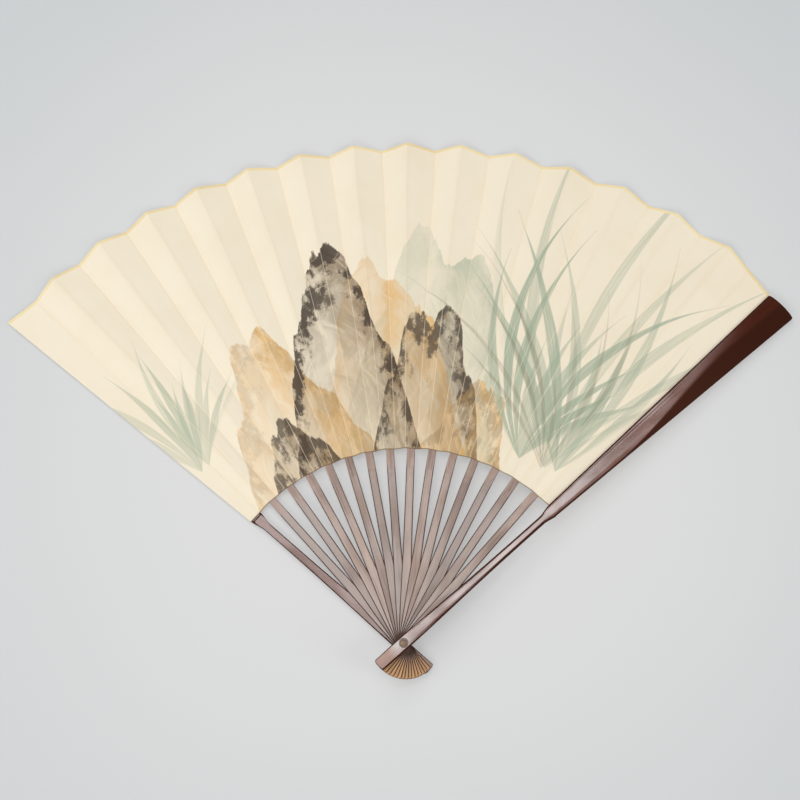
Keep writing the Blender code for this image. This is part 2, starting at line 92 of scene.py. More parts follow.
# A rim of painted shade sets in and is full at these shares of its width
SHADE_FADE = (1.3, 0.8)
OUTER_SHADE_FADE = (1.2, 0.8)
# Stretch at the tail over which the colour and coat of the handled end set in
HANDLED_STRETCH = (-3 * MM, -11 * MM)

# Shaders
BLACK = (0.0, 0.0, 0.0, 1.0)
# Base of the hills' falling curves
FALL_BASE = 2.718

# Stage
FLOOR_HALF_WIDTH = 4.0
SQUARE = ((-1, -1), (1, -1), (1, 1), (-1, 1))
FLOOR_MIDDLE = (0.0, 0.14, 0.0)
LAMP_TARGET = Vector((0, 0.1, 0))
CAMERA_PLACE = (0.03045, -0.14142, 1.00624)
CAMERA_TURN = Euler([math.radians(a) for a in (15.834, 1.913, -0.234)], "XYZ")
# Lamps: name, share of the lamp power, size and place
LAMPS = (
    ("softbox", 0.80, (1.30, 1.15), (-0.21, 0.42, 2.0)),
    ("north", 0.48, (1.5, 0.7), (-0.55, 1.7, 1.7)),
    ("south", 0.78, (1.8, 0.8), (-0.35, -1.5, 1.3)),
    ("west", 0.72, (0.8, 1.6), (-1.9, -0.2, 1.3)),
    ("east", 0.80, (0.8, 1.6), (1.9, -0.6, 1.3)),
)


def eased(share):
    """Ease from 0 to 1 with level ends."""
    share = min(max(share, 0.0), 1.0)
    return share * share * (3 - 2 * share)


def colour_property(name, description, default):
    return FloatVectorProperty(
        name=name, description=description, subtype="COLOR", size=3, min=0, max=1, default=default
    )


def length_property(name, description, default):
    return FloatProperty(
        name=name, description=description, default=default, min=0, unit="LENGTH", precision=5
    )


def share_property(name, description, default):
    return FloatProperty(
        name=name, description=description, default=default, min=0, max=1, subtype="FACTOR"
    )


class LeafSettings(bpy.types.PropertyGroup):
    """Sizes and colours of the paper leaf."""

    sheet_thickness: length_property("Sheet thickness", "Thickness of one of the two sheets", 0.1 * MM)
    pocket_height: length_property("Pocket height", "Room for a rib between the sheets", 0.4 * MM)
    bow: length_property("Bow", "How far a pleat without a rib bulges", 0.45 * MM)
    binding_width: length_property("Binding width", "Width of the strip along the outer edge", 1.5 * MM)
    binding_thickness: length_property("Binding thickness", "Thickness of that strip", 0.06 * MM)
    paper: colour_property("Paper", "Colour of the front sheet", (0.905, 0.812, 0.643))
    stain: colour_property("Stain", "Colour of aged streaks along the folds", (0.80, 0.64, 0.42))
    back_paper: colour_property("Back paper", "Colour of the back sheet", (0.84, 0.76, 0.60))
    binding: colour_property("Binding", "Colour of the strip along the outer edge", (0.89, 0.74, 0.42))
    # Cut edge: soiled paper, and also the painted shade along the leaf's inner edge
    soiled_and_shaded_edge: colour_property("Cut edge", "Colour of the soiled inner rim", (0.20, 0.12, 0.06))
    sage: colour_property("Sage wash", "Green of the reeds and the far hills", (0.36, 0.43, 0.31))
    ochre: colour_property("Ochre wash", "Tan of the middle hills", (0.76, 0.47, 0.18))
    umber: colour_property("Umber wash", "Brown of the near hills", (0.21, 0.135, 0.07))
    ink: colour_property("Ink", "Darkest tone of the design", (0.062, 0.044, 0.032))
    strength: share_property("Strength", "Strength of the painted design", 1.0)


class WoodSettings(bpy.types.PropertyGroup):
    """Colours and gloss of the bamboo."""

    stick: colour_property("Stick", "Colour of the sticks", (0.215, 0.113, 0.065))
    # Stick streaks: real fibres, and also the painted shade on edges and faces that turn away
    stick_grain_and_shade: colour_property("Stick streaks", "Colour of the fibres and edges", (0.05, 0.02, 0.013))
    # Ribs: the sticks' less polished ends at the leaf, their colour lightened as painted sheen where the
    # leaf blocks the lamp's reflection
    stick_end_painted_sheen: colour_property("Ribs", "Colour of the unpolished ribs in the leaf", (0.43, 0.30, 0.245))
    stick_tail: colour_property("Stick tail", "Colour of the sticks' handled ends", (0.66, 0.34, 0.12))
    guard: colour_property("Guard", "Colour of the guards' handles", (0.18, 0.055, 0.028))
    # Guard streaks: real fibres, and also the painted shade on edges, rims and faces that turn away
    guard_grain_and_shade: colour_property("Guard streaks", "Colour of the fibres and edges", (0.030, 0.0065, 0.002))
    guard_tail: colour_property("Guard tail", "Colour of the guards' handled ends", (0.30, 0.13, 0.075))
    guard_tip: colour_property("Guard tip", "Colour of the guards' far ends", (0.070, 0.010, 0.002))
    stick_roughness: share_property("Stick roughness", "Roughness of the sticks", 0.34)
    guard_roughness: share_property("Guard roughness", "Roughness of the guards", 0.22)


class HornSettings(bpy.types.PropertyGroup):
    """Colours and gloss of the rivet and its washers."""

    head: colour_property("Head", "Colour of the rivet", (0.31, 0.19, 0.11))
    washer: colour_property("Washer", "Colour of the washers", (0.20, 0.125, 0.085))
    roughness: share_property("Roughness", "Roughness of the horn", 0.46)


class StageSettings(bpy.types.PropertyGroup):
    """Floor, lamps and camera."""

    floor: colour_property("Floor", "Colour of the floor about the fan", (0.722, 0.722, 0.72))
    # Floor rim: painted shade of the light's falloff, darker farther out
    floor_falloff_shade: colour_property("Floor rim", "Colour of the floor farther out", (0.605, 0.63, 0.637))
    floor_glow: share_property("Floor glow", "Share of the floor's colour that no shadow darkens", 0.48)
    lamp_power: FloatProperty(
        name="Lamp power", description="Power of the large lamp", default=18.2, min=0, unit="POWER"
    )
    fill: FloatProperty(
        name="Fill", description="Strength of the light from all round", default=0.16, min=0
    )
    focal_length: FloatProperty(
        name="Focal length", description="Focal length of the camera in millimetres", default=81, min=1
    )


class Graph:
    """Writes a shader tree: each call adds one node and gives its output."""

    def __init__(self, tree):
        self.tree = tree
        self.count = 0

    def node(self, kind, inputs, **settings):
        made = self.tree.nodes.new(kind)
        made.location = (self.count // 8 * 220, self.count % 8 * -190)
        self.count += 1
        for name, value in settings.items():
            setattr(made, name, value)
        for key, value in inputs.items():
            if isinstance(value, bpy.types.NodeSocket):
                self.tree.links.new(value, made.inputs[key])
            else:
                made.inputs[key].default_value = value
        return made

    def math(self, operation, *values, clamp=False):
        made = self.node("ShaderNodeMath", dict(enumerate(values)), operation=operation, use_clamp=clamp)
        return made.outputs[0]

    def step(self, value, low, high, to_low=0.0, to_high=1.0):
        """Eased change from to_low to to_high as value goes from low to high."""
        return self.node(
            "ShaderNodeMapRange",
            {"Value": value, "From Min": low, "From Max": high, "To Min": to_low, "To Max": to_high},
            interpolation_type="SMOOTHSTEP",
        ).outputs[0]

    def line(self, value, low, high, at_low, at_high):
        """Straight line that is at_low where value is low and at_high where it is high."""
        slope = (at_high - at_low) / (high - low)
        return self.math("MULTIPLY_ADD", value, slope, at_low - slope * low)

    def blend(self, share, under, over):
        return self.node("ShaderNodeMix", {0: share, 6: under, 7: over}, data_type="RGBA").outputs[2]

    def times(self, *values):
        """Product of two values or more."""
        product, *others = values
        for value in others:
            product = self.math("MULTIPLY", product, value)
        return product

    def less(self, value, other):
        return self.math("SUBTRACT", value, other)

    def distance(self, x, y):
        """Length of the vector x, y."""
        return self.math("SQRT", self.math("ADD", self.times(x, x), self.times(y, y)))

    def vector(self, x, y, z=0.0):
        return self.node("ShaderNodeCombineXYZ", {0: x, 1: y, 2: z}).outputs[0]

    def split(self, vector):
        return self.node("ShaderNodeSeparateXYZ", {0: vector}).outputs

    def noise(self, vector, scale, detail=2.0, roughness=0.5, distortion=0.0):
        made = self.node("ShaderNodeTexNoise", {
            "Vector": vector, "Scale": scale, "Detail": detail, "Roughness": roughness,
            "Distortion": distortion,
        })
        return made.outputs["Fac"]

    def group(self, tree, inputs):
        return self.node("ShaderNodeGroup", inputs, node_tree=tree).outputs


def rgba(colour):
    return (*colour, 1.0)


def effect(name, inputs, outputs, write):
    """Node group with named sockets; write gets the graph and its inputs and returns what it puts out."""
    tree = bpy.data.node_groups.new(name, "ShaderNodeTree")
    for socket, kind in outputs.items():
        tree.interface.new_socket(socket, in_out="OUTPUT", socket_type=kind)
    for socket, default in inputs.items():
        kind = "NodeSocketFloat"
        if isinstance(default, tuple):
            kind = "NodeSocketColor" if len(default) == 4 else "NodeSocketVector"
        tree.interface.new_socket(socket, in_out="INPUT", socket_type=kind).default_value = default
    graph = Graph(tree)
    made = write(graph, tree.nodes.new("NodeGroupInput").outputs)
    ends = tree.nodes.new("NodeGroupOutput")
    ends.location = (graph.count // 8 * 220 + 220, 0)
    for socket, value in made.items():
        tree.links.new(value, ends.inputs[socket])
    return tree


def write_hill(g, given):
    """Hill with a rugged crest, a wandering ridge with its darker side, and a foot lost in mist."""
    angle, radius, seed = given["Angle"], given["Radius"], given["Seed"]
    from_middle = g.less(angle, given["Centre"])
    offset = g.math("ABSOLUTE", g.math("DIVIDE", from_middle, given["Spread"]))
    bell = g.step(g.math("POWER", FALL_BASE, g.times(g.math("POWER", offset, 1.3), -1.0)), 0.12, 1.0)
    shoulders = g.noise(g.vector(g.times(angle, given["Peaks"]), seed), 1.0, 1.0)
    tall = g.math("MULTIPLY_ADD", g.less(shoulders, 0.5), 0.9, 1.0)
    teeth = g.noise(g.vector(g.times(angle, 24.0), g.times(radius, 3.0), seed), 1.0, 5.0, 0.6)
    rugged = g.times(g.less(teeth, 0.5), given["Ragged"])
    height = g.math("MULTIPLY_ADD", given["Height"], tall, rugged)
    crest = g.math("MULTIPLY_ADD", bell, height, given["Foot"])
    depth = g.less(crest, radius)
    edge = g.step(depth, -0.003, 0.012)
    fade = g.math("POWER", FALL_BASE, g.math("DIVIDE", g.times(depth, -1.0), given["Mist"]), clamp=True)
    bends = g.less(g.noise(g.vector(g.times(radius, 3.2), seed), 1.0, 3.0), 0.5)
    side = g.math("MULTIPLY_ADD", bends, 0.16, from_middle)
    slope = g.math("ABSOLUTE", side)
    strokes = g.vector(
        g.math("MULTIPLY_ADD", slope, 15.0, g.times(radius, 4.0)),
        g.math("MULTIPLY_ADD", slope, -5.0, g.times(radius, 2.0)), seed,
    )
    grain = g.step(g.noise(strokes, 1.3, 6.0, 0.62, 0.8), 0.36, 0.62, 0.45, 1.0)
    lit = g.step(side, -0.015, 0.02, 0.58, 1.0)
    patches = g.noise(g.vector(g.times(angle, 17.0), g.times(radius, 6.0), seed), 1.4, 6.0, 0.68)
    spread = g.math("MULTIPLY_ADD", g.step(depth, 0.36, 0.02), 0.16, patches)
    dabs = g.times(g.step(spread, 0.56, 0.68), g.step(depth, 0.55, 0.2), edge)
    return {"Wash": g.times(edge, fade, lit, grain), "Dabs": dabs}


def write_reeds(g, given):
    """Reed leaves that spread from one root, one to each cell of angle, with tapering points."""
    x, y, _ = g.split(given["Vector"])
    across = g.less(x, given["Root X"])
    upward = g.less(y, given["Root Y"])
    reach = g.distance(across, upward)
    angle = g.less(g.math("ARCTAN2", across, upward), given["Lean"])
    angle = g.math("MULTIPLY_ADD", reach, given["Sweep"], angle)
    place = g.times(angle, given["Count"])
    cell = g.math("FLOOR", place)
    inside = g.less(g.less(place, cell), 0.5)
    cell_seed = {"Vector": g.vector(cell, given["Seed"])}
    chance = g.node("ShaderNodeTexWhiteNoise", cell_seed, noise_dimensions="2D")
    first, second, third = g.split(chance.outputs["Color"])
    length = g.times(given["Length"], g.math("MULTIPLY_ADD", first, 0.6, 0.4))
    share = g.math("DIVIDE", reach, length)
    bend = g.times(g.less(second, 0.5), g.times(share, share))
    middle = g.math("MULTIPLY_ADD", g.less(third, 0.5), 0.5, g.times(bend, 0.55))
    swell = g.times(g.step(share, 0.0, 0.45, 0.25, 1.0), g.step(share, 1.0, 0.4))
    width = g.times(given["Width"], swell, g.math("DIVIDE", given["Count"], reach))
    away = g.math("ABSOLUTE", g.less(inside, middle))
    soft = g.math("DIVIDE", g.times(given["Count"], 0.004), reach)
    blade = g.step(away, g.math("ADD", width, soft), g.less(width, soft))
    in_length = g.math("LESS_THAN", share, 1.0)
    in_fan = g.step(g.math("ABSOLUTE", angle), given["Fan"], g.times(given["Fan"], 0.8))
    tone = g.math("MULTIPLY_ADD", second, 0.5, 0.5)
    streaks = g.noise(g.vector(g.times(place, 9.0), reach, given["Seed"]), 2.0, 3.0)
    return {"Mask": g.times(blade, in_length, in_fan, tone, g.step(streaks, 0.3, 0.6, 0.6, 1.0))}


def write_paper(g, given):
    """Handmade paper: cloudy tone, long pale fibres and a slight tooth."""
    cloud = g.step(g.noise(given["Vector"], 2.6, 4.0, 0.55), 0.36, 0.72)
    fibres = g.noise(given["Vector"], 55.0, 3.0, 0.7, 1.6)
    tooth = g.noise(given["Vector"], 240.0, 3.0, 0.7)
    toned = g.blend(g.times(cloud, given["Ageing"]), given["Colour"], given["Stain"])
    colour = g.blend(g.step(fibres, 0.62, 0.75, 0.0, 0.22), toned, (0.97, 0.93, 0.83, 1.0))
    return {"Colour": colour, "Height": g.math("MULTIPLY_ADD", fibres, 0.5, tooth)}


def write_bamboo(g, given):
    """Straight bamboo fibres along X, with painted shade that darkens and dulls the rims and where the
    surface turns away.
    """
    x, y, z = g.split(given["Vector"])
    fine = g.noise(g.vector(g.times(x, 26.0), g.times(y, 1500.0), g.times(z, 1500.0)), 1.0, 4.0, 0.65)
    broad = g.noise(g.vector(g.times(x, 9.0), g.times(y, 190.0), given["Seed"]), 1.0, 3.0)
    patches = g.noise(g.vector(g.times(x, 22.0), g.times(y, 60.0), given["Seed"]), 1.0, 3.0)
    streak = g.times(g.step(fine, 0.42, 0.72), given["Streaks"])
    tone = g.math("MULTIPLY_ADD", g.step(broad, 0.3, 0.7), 0.35, g.step(patches, 0.35, 0.75, 0.0, 0.25))
    _, _, up = g.split(given["Face normal"])
    # Painted shade: faces that turn from the top, and the dark rims, take the dark colour
    edge = g.math("MAXIMUM", g.step(g.math("ABSOLUTE", up), 0.95, 0.88), given["Shaded rim"])
    share = g.math("ADD", g.times(tone, 0.6), streak, clamp=True)
    share = g.math("MAXIMUM", share, g.times(edge, given["Edge shade"]))
    rough = g.math("MULTIPLY_ADD", fine, 0.14, given["Roughness"])
    rough = g.math("MULTIPLY_ADD", g.less(broad, 0.5), 0.25, rough)
    return {
        "Colour": g.blend(share, given["Colour"], given["Grain and shade"]),
        "Rough": g.math("MAXIMUM", rough, g.times(edge, 0.75)),
        "Height": fine,
        "Polish": g.times(g.less(1.0, edge), g.step(patches, 0.64, 0.42, 0.45, 1.0)),
    }


EFFECTS = {
    "misty hill": (
        {"Angle": 0.0, "Radius": 2.0, "Centre": 0.0, "Spread": 0.2, "Foot": 1.2, "Height": 0.5,
         "Ragged": 0.3, "Peaks": 6.0, "Seed": 1.0, "Mist": 0.4},
        {"Wash": "NodeSocketFloat", "Dabs": "NodeSocketFloat"},
        write_hill,
    ),
    "reed leaves": (
        {"Vector": (0.0, 0.0, 0.0), "Root X": 0.0, "Root Y": 1.0, "Lean": 0.0, "Fan": 0.6, "Count": 8.0,
         "Length": 1.2, "Sweep": 0.1, "Width": 0.02, "Seed": 1.0},
        {"Mask": "NodeSocketFloat"},
        write_reeds,
    ),
    "handmade paper": (
        {"Vector": (0.0, 0.0, 0.0), "Colour": (1.0, 1.0, 1.0, 1.0), "Stain": (1.0, 1.0, 1.0, 1.0),
         "Ageing": 0.2},
        {"Colour": "NodeSocketColor", "Height": "NodeSocketFloat"},
        write_paper,
    ),
    "bamboo fibres": (
        {"Vector": (0.0, 0.0, 0.0), "Face normal": (0.0, 0.0, 1.0), "Colour": (1.0, 1.0, 1.0, 1.0),
         "Grain and shade": (0.0, 0.0, 0.0, 1.0), "Streaks": 0.5, "Edge shade": 0.8, "Shaded rim": 0.0, "Roughness": 0.3,
         "Seed": 1.0},
        {"Colour": "NodeSocketColor", "Rough": "NodeSocketFloat", "Height": "NodeSocketFloat",
         "Polish": "NodeSocketFloat"},
        write_bamboo,
    ),
}


def shared(name):
    """The node group of that name, made when it is first asked for."""
    return bpy.data.node_groups.get(name) or effect(name, *EFFECTS[name])


def new_material(name):
    """Material with an empty graph beside its Principled shader."""
    material = bpy.data.materials.new(name)
    material.use_nodes = True
    return material, Graph(material.node_tree), material.node_tree.nodes["Principled BSDF"]


def wire(graph, shader, colour=None, roughness=None, height=None, strength=0.1, distance=0.1 * MM):
    """Links colour, roughness and bump to the shader."""
    if colour is not None:
        graph.tree.links.new(colour, shader.inputs["Base Color"])
    if roughness is not None:
        graph.tree.links.new(roughness, shader.inputs["Roughness"])
    if height is not None:
        bump = graph.node("ShaderNodeBump", {"Height": height, "Strength": strength, "Distance": distance})
        graph.tree.links.new(bump.outputs[0], shader.inputs["Normal"])


# Hills of the design, farthest first: wash, strength, dabs, then centre, spread, foot, height, ragged,
# peaks, seed and mist
HILLS = (
    ("sage", 0.60, 0.0, (0.08, 0.34, 1.00, 1.45, 0.20, 6.0, 3.1, 0.80)),
    ("ochre", 0.95, 0.0, (-0.06, 0.30, 1.05, 1.25, 0.28, 7.0, 5.3, 0.95)),
    ("ochre", 1.00, 0.15, (-0.46, 0.32, 1.00, 1.00, 0.28, 8.0, 14.7, 0.90)),
    ("umber", 0.95, 0.90, (-0.22, 0.28, 1.00, 1.30, 0.32, 8.0, 12.4, 0.85)),
    ("umber", 0.90, 0.80, (0.11, 0.25, 1.00, 0.98, 0.28, 9.0, 9.2, 0.75)),
    ("ochre", 0.95, 0.30, (0.30, 0.22, 1.00, 0.60, 0.24, 9.0, 31.3, 0.65)),
    ("umber", 0.85, 0.75, (-0.50, 0.20, 1.00, 0.48, 0.22, 9.0, 27.6, 0.55)),
)
HILL_VALUES = ("Centre", "Spread", "Foot", "Height", "Ragged", "Peaks", "Seed", "Mist")
# Clumps of reeds: wash, strength, then root, lean, fan, count, length, sweep, width and seed
REEDS = (
    ("sage", 0.60, (0.80, 1.00, 0.30, 0.75, 5.0, 2.6, -0.16, 0.034, 2.0)),
    ("sage", 0.85, (0.86, 0.98, 0.42, 0.70, 6.0, 2.2, 0.16, 0.034, 5.0)),
    ("sage", 0.95, (0.66, 1.06, 0.25, 0.80, 7.0, 1.7, -0.30, 0.030, 11.0)),
    ("umber", 0.45, (0.78, 1.00, 0.30, 0.70, 6.0, 1.5, 0.30, 0.014, 17.0)),
    ("sage", 0.70, (-1.16, 1.02, -0.55, 0.60, 6.0, 1.3, 0.25, 0.026, 23.0)),
    ("sage", 0.55, (-1.12, 1.06, -0.40, 0.60, 6.0, 1.0, -0.30, 0.024, 29.0)),
)
REED_VALUES = ("Root X", "Root Y", "Lean", "Fan", "Count", "Length", "Sweep", "Width", "Seed")


def paint_design(graph, plan, colour, given):
    """Lays hills and reeds over the paper's colour."""
    x, y, _ = graph.split(plan)
    place = {"Angle": graph.math("ARCTAN2", x, y), "Radius": graph.distance(x, y)}

    def wash(mask, strength, tint):
        share = graph.times(mask, strength * given.strength)
        return graph.blend(share, colour, rgba(getattr(given, tint)))

    for tint, strength, dabs, values in HILLS:
        made = graph.group(shared("misty hill"), {**place, **dict(zip(HILL_VALUES, values))})
        colour = wash(made["Wash"], strength, tint)
        if dabs:
            colour = wash(made["Dabs"], dabs, "ink")
    for tint, strength, values in REEDS:
        made = graph.group(shared("reed leaves"), {"Vector": plan, **dict(zip(REED_VALUES, values))})
        colour = wash(made["Mask"], strength, tint)
    return colour


def paper_material(name, given, colour, painted):
    """Paper with soft aged bands beside the folds, painted or plain."""
    material, graph, shader = new_material(name)
    plan = graph.node("ShaderNodeUVMap", {}, uv_map=PLAN_MAP).outputs[0]
    folds = graph.node("ShaderNodeUVMap", {}, uv_map=FOLD_MAP).outputs[0]
    paper = graph.group(shared("handmade paper"), {
        "Vector": plan, "Colour": rgba(colour), "Stain": rgba(given.stain), "Ageing": 0.16,
    })
    from_fold, from_rib, _ = graph.split(folds)
    band = graph.noise(graph.vector(graph.times(from_fold, 0.35), graph.split(plan)[1]), 1.4, 3.0)
    shade = graph.times(graph.step(from_fold, 3.2, 0.2), graph.step(band, 0.35, 0.7, 0.05, 0.3))
    toned = graph.blend(shade, paper["Colour"], rgba(given.stain))
    if painted:
        toned = paint_design(graph, plan, toned, given)
    worn = graph.step(from_fold, 0.35, 0.08, 0.0, 0.35)
    toned = graph.blend(worn, toned, (0.93, 0.86, 0.70, 1.0))
    edges = graph.node("ShaderNodeUVMap", {}, uv_map=EDGE_MAP).outputs[0]
    # Partly soiling, partly painted shade: the leaf darkens towards its inner edge
    soiled_and_shaded = graph.step(graph.split(edges)[0], 0.75, 0.25, 0.0, 0.85)
    toned = graph.blend(soiled_and_shaded, toned, rgba(given.soiled_and_shaded_edge))
    wire(graph, shader, toned, None, paper["Height"], 0.25, 0.06 * MM)
    shader.inputs["Roughness"].default_value = 0.85
    shader.inputs["Specular IOR Level"].default_value = 0.25
    return material


def binding_material(given):
    """Thin silk paper strip along the outer edge."""
    material, graph, shader = new_material("leaf_binding")
    plan = graph.node("ShaderNodeUVMap", {}, uv_map=PLAN_MAP).outputs[0]
    paper = graph.group(shared("handmade paper"), {
        "Vector": plan, "Colour": rgba(given.binding), "Stain": (0.70, 0.47, 0.20, 1.0), "Ageing": 0.35,
    })
    wire(graph, shader, paper["Colour"], None, paper["Height"], 0.3, 0.05 * MM)
    shader.inputs["Roughness"].default_value = 0.7
    return material


def breadths(node, parts):
    """Middle and half width of a stick or guard in each of the given stretches of its length."""
    turn = Matrix.Rotation(-heading_of(node), 3, "Z")
    points = [turn @ v.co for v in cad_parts[node].data.vertices]
    middles, halves = [], []
    for start, end in parts:
        across = [p.y for p in points if start < p.x < end]
        middles.append((max(across) + min(across)) / 2)
        halves.append((max(across) - min(across)) / 2)
    return middles, halves


def handle_edge_shade(graph, node, along, aside):
    """Mask of the painted shade, a dark rim, along both long edges of a handle."""
    middles, halves = breadths(node, HANDLE_PARTS)
    (start, _), (_, end) = HANDLE_PARTS
    away = graph.math("ABSOLUTE", graph.less(aside, graph.line(along, start, end, *middles)))
    inside = graph.less(graph.step(along, start, HANDLE_NARROWED, *halves), away)
    rim = graph.step(inside, *(HANDLE_SHADE_WIDTH * share for share in SHADE_FADE))
    return graph.times(rim, graph.step(along, *HANDLE_END))


def blade_edge_shade(graph, node, along, aside, outward):
    """Mask of the painted shade on a guard's blade: a narrow dark rim beside the leaf and one along the
    outer edge that widens.

    outward is 1 or -1 for a blade whose outer edge is on its left or its right.
    """
    reach = [sum(part) / 2 for part in BLADE_PARTS]
    middle, half = (graph.line(along, *reach, *pair) for pair in breadths(node, BLADE_PARTS))
    away = graph.times(graph.less(aside, middle), outward)
    inner = graph.step(graph.math("ADD", half, away), *(BLADE_INNER_SHADE * share for share in SHADE_FADE))
    width = graph.step(along, *BLADE_WIDENING, *BLADE_OUTER_SHADE)
    outer = graph.step(graph.math("DIVIDE", graph.less(half, away), width), *OUTER_SHADE_FADE)
    return graph.times(graph.math("MAXIMUM", inner, outer), graph.step(along, *BLADE_START))


def bamboo_material(name, node, seed, colours, roughness, coats, tip_reach, gloss, outward=0):
    """Polished bamboo with fibres along its length, on the given stick or guard.

    colours are those of the handle, its fibres and the painted shade on its edges, the handled end and the
    far end, and coats are those of the handle, the handled end and the far end. The far end sets in over
    tip_reach, from the rivet.
    gloss is the coat's IOR and roughness. outward is as in blade_edge_shade, and 0 for a stick.
    """
    colour, dark, tail_colour, tip_colour = map(rgba, colours)
    coat, tail_coat, tip_coat = coats
    material, graph, shader = new_material(name)
    place = graph.node("ShaderNodeTexCoord", {})
    turned = graph.node(
        "ShaderNodeVectorRotate", {"Vector": place.outputs["Object"], "Angle": -heading_of(node)},
        rotation_type="Z_AXIS",
    ).outputs[0]
    along, aside, _ = graph.split(turned)
    # Painted shade along the handle's edges and, on a guard, along the blade's rims
    rim = handle_edge_shade(graph, node, along, aside)
    if outward:
        rim = graph.math("MAXIMUM", rim, blade_edge_shade(graph, node, along, aside, outward))
    fibres = {
        "Vector": turned, "Face normal": place.outputs["Normal"], "Grain and shade": dark,
        "Roughness": roughness, "Seed": seed, "Shaded rim": rim,
    }
    reached = graph.step(along, *tip_reach)
    ground = {"Colour": graph.blend(reached, colour, tip_colour), "Streaks": 0.55, "Edge shade": 0.9}
    made = graph.group(shared("bamboo fibres"), {**fibres, **ground})
    worn = {"Colour": tail_colour, "Streaks": 0.35, "Edge shade": 1.0}
    end = graph.group(shared("bamboo fibres"), {**fibres, **worn})
    handled = graph.step(along, *HANDLED_STRETCH)
    shade = graph.blend(handled, made["Colour"], end["Colour"])
    weight = graph.math("MULTIPLY_ADD", handled, tail_coat - coat, coat)
    weight = graph.math("MULTIPLY_ADD", reached, tip_coat - coat, weight)
    graph.tree.links.new(graph.times(weight, made["Polish"]), shader.inputs["Coat Weight"])
    wire(graph, shader, shade, made["Rough"], made["Height"], 0.12, 0.05 * MM)
    shader.inputs["Coat IOR"].default_value, shader.inputs["Coat Roughness"].default_value = gloss
    return material, shader


def horn_material(name, colour, roughness):
    """Polished horn with soft cloudy bands."""
    material, graph, shader = new_material(name)
    place = graph.node("ShaderNodeTexCoord", {}).outputs["Object"]
    cloud = graph.noise(place, 420.0, 4.0, 0.6, 1.2)
    dark = tuple(0.45 * c for c in colour)
    toned = graph.blend(graph.step(cloud, 0.3, 0.7), rgba(colour), rgba(dark))
    wire(graph, shader, toned, None, cloud, 0.05, 0.05 * MM)
    shader.inputs["Roughness"].default_value = roughness
    shader.inputs["Coat Weight"].default_value = 0.1
    return material


def dress(node, material):
    """Gives a CAD node its finish."""
    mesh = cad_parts[node].data
    mesh.materials.clear()
    mesh.materials.append(material)


def heading_of(node):
    """Direction in plan from the rivet to the far end of a stick or guard."""
    points = sorted((v.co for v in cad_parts[node].data.vertices), key=lambda p: p.xy.length)
    far = sum(points[-8:], Vector())
    return math.atan2(far.y, far.x)


def long_edges(node):
    """Left and right long edge of a flat pleat at mid thickness, each as its inner and outer end."""
    places = {tuple(round(c, 7) for c in v.co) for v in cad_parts[node].data.vertices}
    places = sorted((Vector(p) for p in places), key=lambda p: p.xy.length)
    pairs = []
    for group in (places[:4], places[-4:]):
        group.sort(key=lambda p: -math.atan2(p.y, p.x))
        pairs.append(((group[0] + group[1]) / 2, (group[2] + group[3]) / 2))
    (inner_left, inner_right), (outer_left, outer_right) = pairs
    return (inner_left, outer_left), (inner_right, outer_right)


def folds_of_leaf():
    """Valley to the right of each stick or guard, and peak to the left of each, as (inner, outer) ends."""
    valleys, peaks = {}, {}
    for index in range(1, STICKS + 2):
        left, right = long_edges(f"free_pleat_{index:02d}")
        step = [(b - a).normalized() * FOLD_CLEARANCE for a, b in zip(left, right)]
        valleys[index - 1] = [p - s for p, s in zip(left, step)]
        peaks[index] = [p + s for p, s in zip(right, step)]
    return valleys, peaks


class Column:
    """Straight line on the leaf, from its inner to its outer edge.

    fold and rib are its distances from the next fold and rib at both ends, opening is how far the pocket
    is open there, from 0 to 1, and bow is how far the pleat bulges there.
    """

    def __init__(self, ends, fold, rib, opening=0.0, bow=0.0):
        self.ends = [Vector(p) for p in ends]
        self.normals = None
        self.fold = fold
        self.rib = rib
        self.opening = opening
        self.bow = bow

    def at(self, share):
        return self.ends[0].lerp(self.ends[1], share)

    def normal(self, share):
        return self.normals[0].lerp(self.normals[1], share).normalized()


def ribbed_half(middle, fold, to_left):
    """Columns of half a ribbed pleat, from its rib to its fold, or from its fold to its rib."""
    width = [(f - m).length for m, f in zip(middle, fold)]
    across = [(f - m).normalized() for m, f in zip(middle, fold)]
    met = [p + MEETING_SHARE * min(w - p, MEETING_REACH) for w, p in zip(width, POCKET_HALF_WIDTHS)]
    columns = [Column(middle, width, (0.0, 0.0), 1.0)]
    for distance, opening in (POCKET_HALF_WIDTHS, 1.0), (met, 0.0):
        ends = [m + a * d for m, a, d in zip(middle, across, distance)]
        columns.append(Column(ends, [w - d for w, d in zip(width, distance)], distance, opening))
    columns.append(Column(fold, (0.0, 0.0), width))
    return columns[::-1] if to_left else columns


def plain_pleat(left, right, bow):
    """Columns between two folds, both left out."""
    columns = []
    width = [(r - l).length for l, r in zip(left, right)]
    for share in FREE_COLUMNS:
        ends = [l.lerp(r, share) for l, r in zip(left, right)]
        from_fold = [w * min(share, 1 - share) for w in width]
        columns.append(Column(ends, from_fold, NO_RIB, bow=bow * 4 * share * (1 - share)))
    return columns


def set_normals(columns):
    """Gives each column the upward normal of the leaf there, as the mean of its neighbours' slopes."""
    for index, column in enumerate(columns):
        before, after = columns[max(index - 1, 0)], columns[min(index + 1, len(columns) - 1)]
        length = column.ends[1] - column.ends[0]
        column.normals = []
        for end in (0, 1):
            slopes = []
            for near, far in ((before, column), (column, after)):
                step = far.ends[end] - near.ends[end]
                if step.length > 0:
                    slopes.append(length.cross(step).normalized())
            normal = sum(slopes, Vector()).normalized()
            column.normals.append(normal if normal.z > 0 else -normal)


